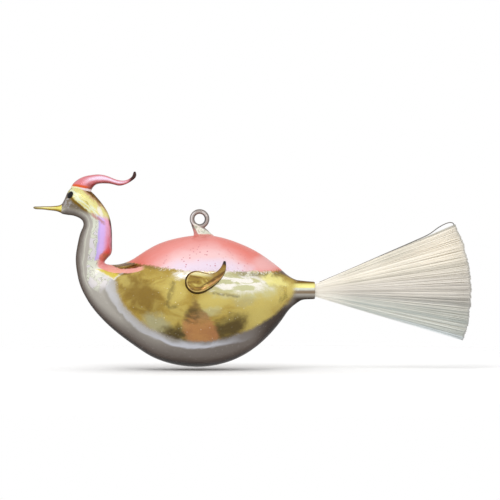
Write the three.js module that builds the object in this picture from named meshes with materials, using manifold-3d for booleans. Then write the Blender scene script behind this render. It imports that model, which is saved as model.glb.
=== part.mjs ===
// A hand-blown glass bird ornament with a fan tail of spun glass, in millimetres, +Z up.
// The origin is the centre of the hanging loop's hole. The beak points along -X and the tail along +X.
import * as THREE from "three";
import { mergeVertices } from "three/addons/utils/BufferGeometryUtils.js";
import Module from "manifold-3d";

const wasm = await Module();
wasm.setup();

// ---------------------------------------------------------------- driving dimensions

const glassWall = 0.8; // thickness of the blown shell
const seatGap = 0.3; // between the shell and each piece that is fused onto it

const bodyLength = 94.8; // crease behind the neck to the start of the tail tube
const bodyHeight = 63.7; // top of the back to the bottom of the belly
const bodyWidth = 60;

const tubeRadius = 4.2; // tail tube, outside, at its mouth
const tubeFlare = 0.45; // how much wider the tube is where it meets the body
const tubeLength = 6.2;

const neckHeight = 18.5; // crease to the start of the head
const neckDepth = 16.4; // front to back
const neckWidth = 16;
const neckLean = 3.6; // how far the top of the neck stands in front of the crease

const headLength = 17.3; // middle of the neck to the root of the beak
const headHeight = 18.5; // top of the neck to the crown
const headWidth = 13;

const beakLength = 13.2;
const beakTipRadius = 0.55;

const crestReach = 26.4; // root to tip, backwards
const crestRise = 7.2; // root to the top of the curve
const crestWidth = 8; // at the root, across the head

const eyeRadius = 1.65;
const eyeBulge = 0.8;

const wingLength = 19.6;
const wingBreadth = 11.1;
const wingThickness = 3.6;
const wingLift = 5.2; // how far the tip stands out from the disc
const wingInset = 0.7; // how deep the disc is pressed into the flank

const loopHoleRadius = 2.5;
const loopRodRadius = 1.1;
const loopDrop = 7.5; // hole centre to the top of the back
const loopFootWidth = 5.4; // across the back

const tailReach = 75; // mouth of the tube to the ends of the fibres
const tailSlope = 0.005; // share of the reach by which the top corner is shorter and the bottom one longer
const tailUp = 25.3; // degrees from level to the top corner of the fan
const tailDown = 18.7; // degrees from level to the bottom corner
const tailThickness = 9; // of the fan at its end, across the bird
const tailInsert = 3.6; // how deep the roots sit in the tube
const rootClearance = 0.15; // between the roots and the bore of the tube
const lockCount = 14;
const lockGapRoot = 0.06; // between neighbouring locks in the tube
const lockGapEnd = 0.3; // and at the ends of the fibres
const cementLength = 2; // glue plug behind the roots

const strayRadius = 0.18;
const strayStart = 2; // from the mouth of the tube
const strayBow = 1.2; // how far the stray fibre stands off the fan

// ---------------------------------------------------------------- places that follow from them

const boreRadius = tubeRadius - glassWall;
const rootRadius = boreRadius - rootClearance;

const loopStation = 0.481; // of the body's length, from the crease: the loop hangs the bird level
const backRise = 0.206; // of the body's height, from the crease to the top of the back
const tubeStation = -0.2146; // of the body's height, from the crease to the tube's axis

const crease = new THREE.Vector2(-loopStation * bodyLength, -loopDrop - backRise * bodyHeight);
const tubeAxisZ = crease.y + tubeStation * bodyHeight;
const tubeStartX = crease.x + bodyLength;
const mouth = new THREE.Vector2(tubeStartX + tubeLength, tubeAxisZ);
const neckTop = new THREE.Vector2(crease.x - neckLean, crease.y + neckHeight);

// ---------------------------------------------------------------- ribs and sweeps

// A rib is one oval section of a bent, tapering form: two opposite points of its outline in the XZ plane,
// here called back and front, its half width along Y, and how far its middle stands off along Y.
function rib(backX, backZ, frontX, frontZ, halfWidth, offset = 0) {
  return { back: [backX, backZ], front: [frontX, frontZ], halfWidth, offset };
}

// Ribs whose outline points are shares of a length and a height, counted from an origin.
function ribsIn(origin, length, height, halfWidth, rows) {
  const x = (share) => origin.x + share * length;
  const z = (share) => origin.y + share * height;
  return rows.map(([bx, bz, fx, fz, w]) => rib(x(bx), z(bz), x(fx), z(fz), w * halfWidth));
}

// The same form with more ribs, from smooth curves through the given ones.
function smoothRibs(ribs, count) {
  const curve = (pick) => {
    const points = ribs.map((r) => new THREE.Vector3(...pick(r)));
    return new THREE.CatmullRomCurve3(points, false, "centripetal");
  };
  const backs = curve((r) => [r.back[0], r.offset, r.back[1]]);
  const fronts = curve((r) => [r.front[0], r.halfWidth, r.front[1]]);
  return Array.from({ length: count }, (_, i) => {
    const share = i / (count - 1);
    const back = backs.getPoint(share);
    const front = fronts.getPoint(share);
    return rib(back.x, back.z, front.x, front.z, front.y, back.y);
  });
}

// The same ribs, each grown outwards by a distance, or shrunk by a negative one.
function grown(ribs, distance) {
  return ribs.map(({ back, front, halfWidth, offset }) => {
    const middle = new THREE.Vector2((back[0] + front[0]) / 2, (back[1] + front[1]) / 2);
    const half = new THREE.Vector2(back[0], back[1]).sub(middle);
    half.setLength(half.length() + distance);
    return rib(
      middle.x + half.x,
      middle.y + half.y,
      middle.x - half.x,
      middle.y - half.y,
      halfWidth + distance,
      offset,
    );
  });
}

// The point of a rib at an angle from its back, towards +Y.
function ribPoint({ back, front, halfWidth, offset }, angle) {
  const along = Math.cos(angle) / 2;
  return new THREE.Vector3(
    (back[0] + front[0]) / 2 + (back[0] - front[0]) * along,
    offset + halfWidth * Math.sin(angle),
    (back[1] + front[1]) / 2 + (back[1] - front[1]) * along,
  );
}

function ribCentre(r) {
  return ribPoint(r, 0).add(ribPoint(r, Math.PI)).multiplyScalar(0.5);
}

function ringOf(r, segments) {
  return Array.from({ length: segments }, (_, j) => ribPoint(r, (2 * Math.PI * j) / segments));
}

// Triangles between two rings of the same number of points, and between a ring and one point.
function bridge(triangles, from, to) {
  from.forEach((a, j) => {
    const next = (j + 1) % from.length;
    triangles.push([a, to[j], from[next]], [from[next], to[j], to[next]]);
  });
}

function closeStart(triangles, ring, pole) {
  ring.forEach((a, j) => triangles.push([pole, a, ring[(j + 1) % ring.length]]));
}

function closeEnd(triangles, ring, pole) {
  ring.forEach((a, j) => triangles.push([pole, ring[(j + 1) % ring.length], a]));
}

// A closed skin with its faces outwards, whichever way round its rings were given.
function geometryOf(triangles) {
  const volume = triangles.reduce((sum, [a, b, c]) => sum + a.dot(b.clone().cross(c)), 0);
  if (volume < 0) triangles.forEach((triangle) => triangle.reverse());
  const corners = triangles.flat().flatMap((p) => [p.x, p.y, p.z]);
  const geometry = new THREE.BufferGeometry();
  geometry.setAttribute("position", new THREE.Float32BufferAttribute(corners, 3));
  const merged = mergeVertices(geometry, 1e-4);
  merged.computeVertexNormals();
  return merged;
}

function middleOf(ring) {
  const sum = ring.reduce((total, p) => total.add(p), new THREE.Vector3());
  return sum.divideScalar(ring.length);
}

// A solid whose skin runs over every ring in turn, closed at both ends.
function skinOver(rings) {
  const triangles = [];
  closeStart(triangles, rings[0], middleOf(rings[0]));
  rings.slice(1).forEach((ring, i) => bridge(triangles, rings[i], ring));
  const last = rings[rings.length - 1];
  closeEnd(triangles, last, middleOf(last));
  return geometryOf(triangles);
}

function sweep(ribs, segments) {
  return skinOver(ribs.map((r) => ringOf(r, segments)));
}

// A bottle: an outer skin, an inner skin that stops a few ribs short of the far end, and a rim at the mouth.
function bottle(ribs, wall, segments, solidRibs) {
  const outer = ribs.map((r) => ringOf(r, segments));
  const inner = grown(ribs.slice(0, -solidRibs), -wall).map((r) => ringOf(r, segments));
  const triangles = [];
  const last = outer[outer.length - 1];
  const innerLast = inner[inner.length - 1];
  outer.slice(1).forEach((ring, i) => bridge(triangles, outer[i], ring));
  closeEnd(triangles, last, middleOf(last));
  inner.slice(1).forEach((ring, i) => bridge(triangles, ring, inner[i]));
  closeStart(triangles, innerLast, middleOf(innerLast));
  bridge(triangles, inner[0], outer[0]);
  return geometryOf(triangles);
}

// ---------------------------------------------------------------- solids for cutting and joining

function solidOf(geometry) {
  const bare = geometry.clone();
  bare.deleteAttribute("normal");
  bare.deleteAttribute("uv");
  const merged = mergeVertices(bare, 1e-4);
  return new wasm.Manifold(
    new wasm.Mesh({
      numProp: 3,
      vertProperties: merged.attributes.position.array,
      triVerts: new Uint32Array(merged.index.array),
    }),
  );
}

function geometryOfSolid(solid) {
  const { vertProperties, triVerts } = solid.getMesh();
  const geometry = new THREE.BufferGeometry();
  geometry.setAttribute("position", new THREE.BufferAttribute(vertProperties, 3));
  geometry.setIndex(new THREE.BufferAttribute(triVerts, 1));
  geometry.computeVertexNormals();
  return geometry;
}

// ---------------------------------------------------------------- the blown shell: body, neck and head

// The tail tube is a short taper with its mouth open.
const tubeRibs = [
  [tubeLength, 0],
  [tubeLength / 2, 0.35],
  [0, 1],
].map(([along, flareShare]) => {
  const radius = tubeRadius + flareShare * tubeFlare;
  const x = tubeStartX + along;
  return rib(x, tubeAxisZ + radius, x, tubeAxisZ - radius, radius);
});

// Back and belly, from the tail tube to the crease: back x and z, belly x and z, width.
const bodyRibs = ribsIn(crease, bodyLength, bodyHeight, bodyWidth / 2, [
  [0.965, -0.132, 0.975, -0.309, 0.189],
  [0.924, -0.096, 0.934, -0.361, 0.277],
  [0.889, -0.049, 0.894, -0.444, 0.41],
  [0.838, 0.013, 0.838, -0.546, 0.57],
  [0.762, 0.088, 0.757, -0.654, 0.753],
  [0.661, 0.156, 0.656, -0.74, 0.907],
  [0.56, 0.198, 0.549, -0.784, 0.985],
  [0.481, 0.206, 0.463, -0.794, 1],
  [0.382, 0.187, 0.357, -0.776, 0.97],
  [0.281, 0.145, 0.246, -0.723, 0.877],
  [0.205, 0.083, 0.154, -0.636, 0.733],
  [0.129, 0.009, 0.053, -0.523, 0.567],
  [0.063, -0.019, -0.023, -0.414, 0.433],
  [0.013, -0.017, -0.084, -0.297, 0.34],
]);

// Back and front of the neck, from the crease upwards.
const neckRibs = ribsIn(crease, neckDepth, neckHeight, neckWidth / 2, [
  [0, 0, -0.731, -0.584, 1.06],
  [0.073, 0.086, -0.827, -0.169, 1],
  [0.205, 0.221, -0.845, 0.143, 1],
  [0.219, 0.481, -0.789, 0.481, 0.98],
  [0.219, 0.766, -0.716, 0.753, 0.92],
  [0.184, 1.052, -0.623, 0.935, 0.82],
]);

// Nape, crown and forehead against throat and chin.
const headRibs = ribsIn(neckTop, -headLength, headHeight, headWidth / 2, [
  [-0.306, 0.273, 0.394, 0.039, 0.98],
  [-0.167, 0.481, 0.458, 0.117, 0.96],
  [0, 0.675, 0.569, 0.169, 0.97],
  [0.167, 0.836, 0.681, 0.2, 1],
  [0.417, 0.979, 0.778, 0.213, 1],
  [0.653, 0.966, 0.861, 0.223, 0.9],
  [0.797, 0.844, 0.922, 0.234, 0.73],
  [0.883, 0.662, 0.964, 0.239, 0.54],
  [0.964, 0.506, 1.006, 0.247, 0.37],
]);

const shellRibCount = 50;
const shellSegments = 26;
const shellRibs = smoothRibs([...tubeRibs, ...bodyRibs, ...neckRibs, ...headRibs], shellRibCount);

// The shell with nothing inside, grown by the seat gap: what is fused onto the shell is cut to it.
const seat = solidOf(sweep(grown(shellRibs, seatGap), shellSegments));

function seated(geometry) {
  const pieces = solidOf(geometry).subtract(seat).decompose();
  const largest = pieces.reduce((best, piece) => (piece.volume() > best.volume() ? piece : best));
  return geometryOfSolid(largest);
}

// The point of the shell's +Y side that stands at x and z, with the outward normal there.
const fineRibs = smoothRibs(shellRibs, shellRibCount * 4);
const fineAngle = Math.PI / 120;

function shellPlace(x, z) {
  let nearest = { distance: Infinity };
  fineRibs.slice(1).forEach((r, i) => {
    for (let angle = fineAngle; angle < Math.PI; angle += fineAngle) {
      const point = ribPoint(r, angle);
      const distance = Math.hypot(point.x - x, point.z - z);
      if (distance < nearest.distance) nearest = { distance, point, angle, before: fineRibs[i], at: r };
    }
  });
  const { point, angle, before, at } = nearest;
  const onward = point.clone().sub(ribPoint(before, angle));
  const around = ribPoint(at, angle + fineAngle).sub(point);
  return { point, normal: around.cross(onward).normalize() };
}

// ---------------------------------------------------------------- pieces fused onto the shell

// The beak grows out of the head's flat front, so its root follows the last rib.
function beakGeometry() {
  const root = shellRibs[shellRibs.length - 1];
  const centre = ribCentre(root);
  const rootRadius = Math.hypot(root.back[0] - root.front[0], root.back[1] - root.front[1]) / 2;
  const lean = new THREE.Vector2(root.back[0] - root.front[0], root.back[1] - root.front[1]).normalize();
  const tipRise = 0.4; // the tip stands a little above the middle of the root
  const profile = [
    [0, 1, 1],
    [0.14, 0.66, 0.45],
    [0.4, 0.42, 0.1],
    [0.7, 0.3, 0],
    [0.9, 0.24, 0],
    [0.98, 0.14, 0],
  ];
  const start = centre.x - seatGap;
  return sweep(
    profile.map(([share, size, leaning]) => {
      const radius = Math.max(size * rootRadius, share < 0.95 ? beakTipRadius : 0);
      const x = start - share * beakLength;
      const z = centre.z + share * tipRise;
      const tilt = leaning * lean.x * radius;
      return rib(x + tilt, z + radius, x - tilt, z - radius, radius);
    }),
    14,
  );
}

// The crest is a horn drawn back from the crown, with its tip curled up.
function crestGeometry() {
  const root = new THREE.Vector2(neckTop.x - 0.431 * headLength, neckTop.y + 0.909 * headHeight);
  const rows = [
    [-0.2, -0.17, 0.182, -0.33, 0.95],
    [-0.185, 0.113, 0.189, -0.133, 1],
    [-0.14, 0.367, 0.2, 0, 0.94],
    [-0.064, 0.6, 0.231, 0.147, 0.83],
    [0.045, 0.787, 0.285, 0.267, 0.72],
    [0.191, 0.907, 0.364, 0.327, 0.62],
    [0.327, 0.927, 0.427, 0.327, 0.55],
    [0.464, 0.833, 0.509, 0.307, 0.47],
    [0.573, 0.673, 0.595, 0.233, 0.39],
    [0.682, 0.54, 0.691, 0.173, 0.33],
    [0.791, 0.533, 0.809, 0.273, 0.24],
    [0.878, 0.667, 0.909, 0.487, 0.19],
    [0.925, 0.867, 0.984, 0.72, 0.22],
    [0.943, 1.01, 1.004, 0.933, 0.19],
    [0.953, 1.1, 0.986, 1.085, 0.11],
  ];
  const ribs = ribsIn(root, crestReach, crestRise, crestWidth / 2, rows);
  return seated(sweep(smoothRibs(ribs, 24), 14));
}

// A wing is a comma: a round disc pressed onto the flank, drawn out into a tail that curls up and outwards.
function wingGeometry(side) {
  const disc = new THREE.Vector2(crease.x + 0.463 * bodyLength, crease.y - 0.153 * bodyHeight);
  const place = shellPlace(disc.x, disc.y);
  const rows = [
    [-0.275, 0.01, -0.275, -0.01, 0.15, 0],
    [-0.262, 0.2, -0.262, -0.18, 0.6, 0],
    [-0.196, 0.378, -0.196, -0.352, 0.82, 0],
    [-0.098, 0.478, -0.098, -0.469, 0.96, 0],
    [0.012, 0.504, 0.024, -0.504, 1, 0],
    [0.147, 0.452, 0.171, -0.447, 0.96, 0],
    [0.294, 0.404, 0.33, -0.274, 0.9, 0.08],
    [0.416, 0.422, 0.477, -0.078, 0.84, 0.24],
    [0.514, 0.552, 0.595, 0.139, 0.74, 0.46],
    [0.578, 0.704, 0.676, 0.422, 0.62, 0.7],
    [0.612, 0.822, 0.71, 0.639, 0.5, 0.88],
    [0.634, 0.896, 0.703, 0.826, 0.34, 1],
  ];
  const half = wingThickness / 2;
  const ribs = rows.map(([ux, uz, lx, lz, thickness, lift]) =>
    rib(
      ux * wingLength,
      uz * wingBreadth,
      lx * wingLength,
      lz * wingBreadth,
      thickness * half,
      lift * wingLift,
    ),
  );
  const geometry = sweep(smoothRibs(ribs, 24), 14);
  const tilt = Math.atan2(place.normal.z, place.normal.y);
  geometry.rotateX(tilt);
  const stand = half - wingInset;
  geometry.translate(
    place.point.x,
    place.point.y + stand * Math.cos(tilt),
    place.point.z + stand * Math.sin(tilt),
  );
  return mirrored(seated(geometry), side);
}

// The same geometry on the +Y side for 1, or mirrored to the -Y side for -1.
function mirrored(geometry, side) {
  if (side > 0) return geometry;
  geometry.scale(1, -1, 1);
  const index = geometry.index.array;
  for (let i = 0; i < index.length; i += 3) [index[i], index[i + 1]] = [index[i + 1], index[i]];
  geometry.computeVertexNormals();
  return geometry;
}

// An eye is a flattened bead of black glass on the side of the forehead.
function eyeGeometry(side) {
  const brow = new THREE.Vector2(neckTop.x - 0.74 * headLength, neckTop.y + 0.737 * headHeight);
  const place = shellPlace(brow.x, brow.y);
  const geometry = new THREE.SphereGeometry(eyeRadius, 16, 10);
  geometry.scale(1, 1, eyeBulge / eyeRadius);
  const turn = new THREE.Quaternion().setFromUnitVectors(new THREE.Vector3(0, 0, 1), place.normal);
  geometry.applyQuaternion(turn);
  geometry.translate(...place.point.toArray());
  return mirrored(seated(geometry), side);
}

// The loop is one rod: its foot is melted onto the back, and its end is turned round into a ring.
function loopGeometry() {
  const ringRadius = loopHoleRadius + loopRodRadius;
  const outerRadius = ringRadius + loopRodRadius;
  const ring = new THREE.TorusGeometry(ringRadius, loopRodRadius, 12, 32);
  ring.rotateX(Math.PI / 2);
  const origin = new THREE.Vector2(0, 0);
  const foot = ribsIn(origin, outerRadius, loopDrop, loopFootWidth / 2, [
    [-0.655, -1.15, 1.69, -1.17, 1],
    [-0.644, -0.96, 1.3, -0.941, 0.78],
    [-0.697, -0.736, 1, -0.736, 0.58],
    [-0.81, -0.512, 0.72, -0.531, 0.44],
    [-0.93, -0.256, -0.35, -0.37, 0.35],
    [-0.985, -0.03, -0.66, -0.06, 0.27],
  ]);
  const joined = solidOf(ring).add(solidOf(sweep(foot, 16)));
  return seated(geometryOfSolid(joined));
}

// ---------------------------------------------------------------- the spun-glass tail

// The fan coordinate runs from -1 at the bottom edge to 1 at the top edge. Stations run along the fibres:
// under 0 they are in the tube, 0 is its mouth, and 1 is the ends of the fibres.
function fanPoint(fan, station) {
  const rootZ = mouth.y + fan * rootRadius;
  if (station <= 0) return new THREE.Vector2(mouth.x + station * tailInsert, rootZ);
  const angle = THREE.MathUtils.degToRad(THREE.MathUtils.lerp(-tailDown, tailUp, (fan + 1) / 2));
  const reach = tailReach * (1 - tailSlope * fan);
  const end = new THREE.Vector2(Math.cos(angle), Math.sin(angle)).multiplyScalar(reach).add(mouth);
  return new THREE.Vector2(mouth.x, rootZ).lerp(end, station);
}

// Half the fan's thickness: round in the tube, and a flat blade with pleats at the end.
function fanHalfThickness(fan, station, pleat) {
  const edge = Math.min(Math.abs(fan), 0.97);
  const round = rootRadius * Math.sqrt(1 - edge * edge);
  const flat = (tailThickness / 2) * (1 - 0.45 * edge ** 4) * pleat;
  return THREE.MathUtils.lerp(round, flat, THREE.MathUtils.smoothstep(station, 0, 1));
}

function lockGeometry(index) {
  const width = 2 / lockCount;
  const low = -1 + index * width;
  const steps = [0, 1 / 3, 2 / 3, 1];
  const pleats = [0.8, 1, 1, 0.8];
  const stations = [-1, 0, 0.1, 0.3, 0.6, 1];
  const rings = stations.map((station) => {
    const spread = fanPoint(1, station).distanceTo(fanPoint(-1, station));
    const gap = THREE.MathUtils.lerp(lockGapRoot, lockGapEnd, Math.max(station, 0));
    const inset = gap / spread; // half a gap at each side, in the fan coordinate that is 2 wide
    const at = (step) => THREE.MathUtils.lerp(low + inset, low + width - inset, step);
    const side = (sign) =>
      steps.map((step, k) => {
        const { x, y } = fanPoint(at(step), station);
        const pleat = THREE.MathUtils.lerp(1, pleats[k], Math.max(station, 0));
        return new THREE.Vector3(x, sign * fanHalfThickness(at(step), station, pleat), y);
      });
    return [...side(1), ...side(-1).reverse()];
  });
  return skinOver(rings);
}

// The glue plug seals the tube behind the roots, with a domed back.
function cementGeometry() {
  const radius = rootRadius;
  const dome = 1;
  const profile = [
    [0, 0],
    [radius, 0],
    [radius, cementLength],
    [radius * 0.8, cementLength + dome * 0.6],
    [radius * 0.4, cementLength + dome * 0.95],
    [0, cementLength + dome],
  ].map(([x, y]) => new THREE.Vector2(x, y));
  const geometry = new THREE.LatheGeometry(profile, 20);
  geometry.rotateZ(Math.PI / 2);
  geometry.translate(mouth.x - tailInsert - seatGap, 0, mouth.y);
  return geometry;
}

// One fibre has sprung out of the top lock and hooks over its corner.
function strayGeometry() {
  const stand = strayRadius + 0.3; // clear of the top lock
  const upward = THREE.MathUtils.degToRad(tailUp);
  const normal = new THREE.Vector2(-Math.sin(upward), Math.cos(upward));
  const above = (station, height) => {
    const { x, y } = fanPoint(1, station).addScaledVector(normal, height);
    return new THREE.Vector3(x, 0, y);
  };
  const corner = fanPoint(1, 1);
  const past = (angle, distance) =>
    new THREE.Vector3(
      corner.x + distance * Math.cos(upward + angle),
      0,
      corner.y + distance * Math.sin(upward + angle),
    );
  const path = new THREE.CatmullRomCurve3([
    above(strayStart / tailReach, stand),
    above(0.4, stand),
    above(0.7, stand),
    above(0.82, stand + strayBow * 0.6),
    above(0.93, stand + strayBow),
    past(1, strayBow * 0.85),
    past(0.3, strayBow * 0.7),
    past(-0.6, strayBow * 0.8),
  ]);
  const section = new THREE.Shape().absarc(0, 0, strayRadius, 0, 2 * Math.PI);
  return new THREE.ExtrudeGeometry(section, { steps: 40, curveSegments: 3, extrudePath: path });
}

// ---------------------------------------------------------------- the bird

const silveredGlass = new THREE.MeshStandardMaterial({ color: 0xc9ab52, roughness: 0.12, metalness: 0.9 });
const rosyGlass = new THREE.MeshStandardMaterial({ color: 0xee8f92, roughness: 0.18, metalness: 0.35 });
const goldGlass = new THREE.MeshStandardMaterial({ color: 0xd8b544, roughness: 0.15, metalness: 0.9 });
const amberGlass = new THREE.MeshStandardMaterial({ color: 0x9a6a1e, roughness: 0.06, metalness: 0 });
const blackGlass = new THREE.MeshStandardMaterial({ color: 0x0a0a0a, roughness: 0.08, metalness: 0 });
const clearGlass = new THREE.MeshStandardMaterial({ color: 0xb6aba4, roughness: 0.05, metalness: 0 });
const spunGlass = new THREE.MeshStandardMaterial({ color: 0xf1ebdf, roughness: 0.4, metalness: 0 });
const plaster = new THREE.MeshStandardMaterial({ color: 0xe4ddcf, roughness: 0.9, metalness: 0 });

const bird = new THREE.Group();

function place(name, geometry, material) {
  const mesh = new THREE.Mesh(geometry, material);
  mesh.name = name;
  bird.add(mesh);
}

place("blown_shell", bottle(shellRibs, glassWall, shellSegments, 2), silveredGlass);
place("beak", beakGeometry(), goldGlass);
place("crest", crestGeometry(), rosyGlass);
place("hanging_loop", loopGeometry(), clearGlass);
for (const [side, sign] of [
  ["left", 1],
  ["right", -1],
]) {
  place(`wing_${side}`, wingGeometry(sign), amberGlass);
  place(`eye_${side}`, eyeGeometry(sign), blackGlass);
}
place("tail_cement", cementGeometry(), plaster);
for (let i = 0; i < lockCount; i += 1) {
  place(`tail_lock_${String(i + 1).padStart(2, "0")}`, lockGeometry(i), spunGlass);
}
place("stray_fibre", strayGeometry(), spunGlass);

export default bird;
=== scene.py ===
import math
import random
import bpy
import bmesh
import numpy as np
from mathutils import Matrix, Vector


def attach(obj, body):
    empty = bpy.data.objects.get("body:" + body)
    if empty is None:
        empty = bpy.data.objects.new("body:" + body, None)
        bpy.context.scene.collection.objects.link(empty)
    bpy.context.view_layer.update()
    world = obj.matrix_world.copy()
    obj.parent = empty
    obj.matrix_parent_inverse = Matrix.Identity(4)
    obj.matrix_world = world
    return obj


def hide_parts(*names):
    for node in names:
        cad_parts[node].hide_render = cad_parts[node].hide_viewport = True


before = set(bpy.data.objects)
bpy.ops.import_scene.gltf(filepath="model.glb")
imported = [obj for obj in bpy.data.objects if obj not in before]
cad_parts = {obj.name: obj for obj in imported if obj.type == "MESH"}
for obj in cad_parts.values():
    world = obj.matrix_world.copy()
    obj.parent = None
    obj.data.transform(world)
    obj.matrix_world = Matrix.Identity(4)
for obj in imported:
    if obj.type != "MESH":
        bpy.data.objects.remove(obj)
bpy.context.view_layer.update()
mm = 0.001


# modelling helpers: sizes are in millimetres until they reach an operator

def dropSelection():
    if bpy.context.object and bpy.context.object.mode != 'OBJECT':
        bpy.ops.object.mode_set(mode='OBJECT')
    bpy.ops.object.select_all(action='DESELECT')


def pickOnly(piece):
    dropSelection()
    piece.select_set(True)
    bpy.context.view_layer.objects.active = piece


def finishModifier(piece, kind, **settings):
    pickOnly(piece)
    modifier = piece.modifiers.new(kind.title(), kind)
    for key, value in settings.items():
        setattr(modifier, key, value)
    bpy.ops.object.modifier_apply(modifier=modifier.name)


def roundOff(piece):
    finishModifier(piece, 'SUBSURF', levels=1, render_levels=1)
    bpy.ops.object.shade_smooth()


def ringOf(backX, backZ, frontX, frontZ, wide, y=0.0):
    # an oval ring from two opposite points of the outline in the XZ plane and its half width across
    deep = math.hypot(backX - frontX, backZ - frontZ) / 2
    tilt = math.atan2(backZ - frontZ, backX - frontX)
    return {'x': (backX + frontX) / 2, 'y': y, 'z': (backZ + frontZ) / 2,
            'deep': deep, 'wide': wide, 'tilt': tilt}


def smoothRows(rows, count):
    # more rows on a smooth curve through the given ones, closer together where they are close
    points = [Vector(row[:3]) for row in rows]
    knots = [0.0]
    for a, b in zip(points, points[1:]):
        knots.append(knots[-1] + max((b - a).length, 0.01) ** 0.5)
    table = np.array(rows, float)
    slopes = np.gradient(table, np.array(knots), axis=0)
    out = []
    for i in range(count):
        at = i / (count - 1) * (len(rows) - 1)
        k = min(int(at), len(rows) - 2)
        t = at - k
        h = knots[k + 1] - knots[k]
        a, b, ma, mb = table[k], table[k + 1], slopes[k] * h, slopes[k + 1] * h
        out.append((2 * t**3 - 3 * t**2 + 1) * a + (t**3 - 2 * t**2 + t) * ma
                   + (-2 * t**3 + 3 * t**2) * b + (t**3 - t**2) * mb)
    return [list(map(float, row)) for row in out]


def loft(name, rings, sides, capStart=True):
    # a circle is added at the first ring's size and place, then drawn out ring by ring and closed
    dropSelection()
    now = rings[0]
    bpy.ops.mesh.primitive_circle_add(vertices=sides, radius=1, location=(0, 0, 0))
    piece = bpy.context.object
    piece.name = piece.data.name = name
    bpy.ops.object.mode_set(mode='EDIT')
    bpy.ops.mesh.select_all(action='SELECT')
    bpy.ops.transform.resize(value=(now['deep'] * mm, now['wide'] * mm, 1), center_override=(0, 0, 0))
    bpy.ops.transform.rotate(value=now['tilt'] * turnWay, orient_axis='Y', center_override=(0, 0, 0))
    bpy.ops.transform.translate(value=(now['x'] * mm, now['y'] * mm, now['z'] * mm))
    for ring in rings[1:]:
        here = (now['x'] * mm, now['y'] * mm, now['z'] * mm)
        bpy.ops.mesh.extrude_region_move()
        bpy.ops.transform.rotate(value=-now['tilt'] * turnWay, orient_axis='Y', center_override=here)
        bpy.ops.transform.resize(value=(ring['deep'] / now['deep'], ring['wide'] / now['wide'], 1),
                                 center_override=here)
        bpy.ops.transform.rotate(value=ring['tilt'] * turnWay, orient_axis='Y', center_override=here)
        bpy.ops.transform.translate(value=[(ring[k] - now[k]) * mm for k in 'xyz'])
        now = ring
    bpy.ops.mesh.extrude_region_move()
    bpy.ops.mesh.merge(type='CENTER')
    if capStart:
        mesh = bmesh.from_edit_mesh(piece.data)
        mesh.verts.ensure_lookup_table()
        for v in mesh.verts:
            v.select = v.index < sides
        mesh.select_flush_mode()
        bmesh.update_edit_mesh(piece.data)
        bpy.ops.mesh.extrude_region_move()
        bpy.ops.mesh.merge(type='CENTER')
    bpy.ops.mesh.select_all(action='SELECT')
    bpy.ops.mesh.normals_make_consistent(inside=False)
    bpy.ops.object.mode_set(mode='OBJECT')
    return piece


def findTurnWay():
    # with no window transform.rotate turns the other way, so one test ring says which way this Blender turns
    dropSelection()
    bpy.ops.mesh.primitive_circle_add(vertices=4, radius=1, location=(0, 0, 0))
    test = bpy.context.object
    bpy.ops.object.mode_set(mode='EDIT')
    bpy.ops.mesh.select_all(action='SELECT')
    bpy.ops.transform.rotate(value=0.5, orient_axis='Y', center_override=(0, 0, 0))
    bpy.ops.object.mode_set(mode='OBJECT')
    side = max(test.data.vertices, key=lambda v: v.co.x)
    way = 1 if side.co.z > 0 else -1
    bpy.data.objects.remove(test, do_unlink=True)
    return way


turnWay = findTurnWay()
bpy.context.scene.tool_settings.mesh_select_mode = (True, False, False)


# materials: one class wraps a socket, so maths on values is written as maths

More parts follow.
